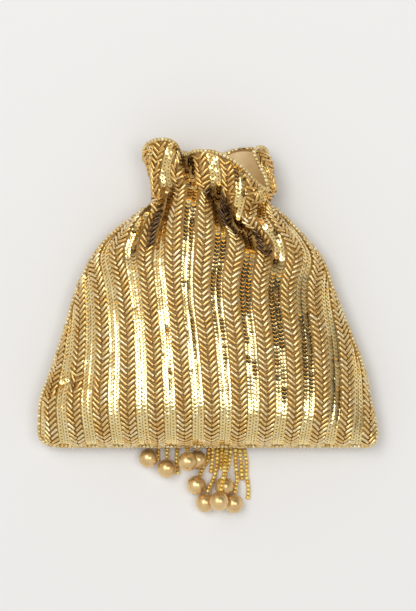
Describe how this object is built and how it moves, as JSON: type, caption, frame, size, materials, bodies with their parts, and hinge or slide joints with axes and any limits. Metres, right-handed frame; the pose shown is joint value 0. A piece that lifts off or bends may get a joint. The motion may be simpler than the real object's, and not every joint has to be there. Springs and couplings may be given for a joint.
{
  "type": "potli drawstring bag",
  "caption": "Soft drawstring pouch in striped sequin and bugle bead embroidery, gathered into a frill at the neck, with beaded tassels that end in pearls.",
  "frame": {"origin": "on the ground, below the middle of the bag's own box, without its tails and tassels", "axes": "+X across the bag to the right as seen from the front, +Y from the bottom seam to the frill, +Z out of the front panel; the bag lies on its back"},
  "size_m": [0.2086, 0.2271, 0.041],
  "materials": {
    "embroidery": "gold sequin and bugle bead embroidery",
    "lining": "champagne satin",
    "seed_beads": "glossy gold seed beads",
    "cord": "twisted gold cord",
    "cap": "polished",
    "pearl": "gold satin pearl"
  },
  "bodies": {
    "root": {"front_panel": "embroidery", "back_panel": "embroidery", "lining": "lining", "mouth_trim": "seed_beads", "edge_trim": "seed_beads", "drawstring": "cord", "drawstring_tail_left": "cord", "drawstring_tail_right": "cord", "tassel_head_left": "cap", "tassel_head_right": "cap", "strand_left_1": "seed_beads", "strand_left_2": "seed_beads", "strand_left_3": "seed_beads", "strand_left_4": "seed_beads", "strand_left_5": "seed_beads", "strand_left_6": "seed_beads", "strand_right_1": "seed_beads", "strand_right_2": "seed_beads", "strand_right_3": "seed_beads", "strand_right_4": "seed_beads", "strand_right_5": "seed_beads", "strand_right_6": "seed_beads", "strand_right_7": "seed_beads", "strand_right_8": "seed_beads", "strand_right_9": "seed_beads", "pearl_left_1": "pearl", "pearl_left_2": "pearl", "pearl_left_3": "pearl", "pearl_left_4": "pearl", "pearl_right_1": "pearl", "pearl_right_2": "pearl", "pearl_right_3": "pearl", "pearl_right_4": "pearl", "pearl_right_5": "pearl"}
  },
  "joints": []
}
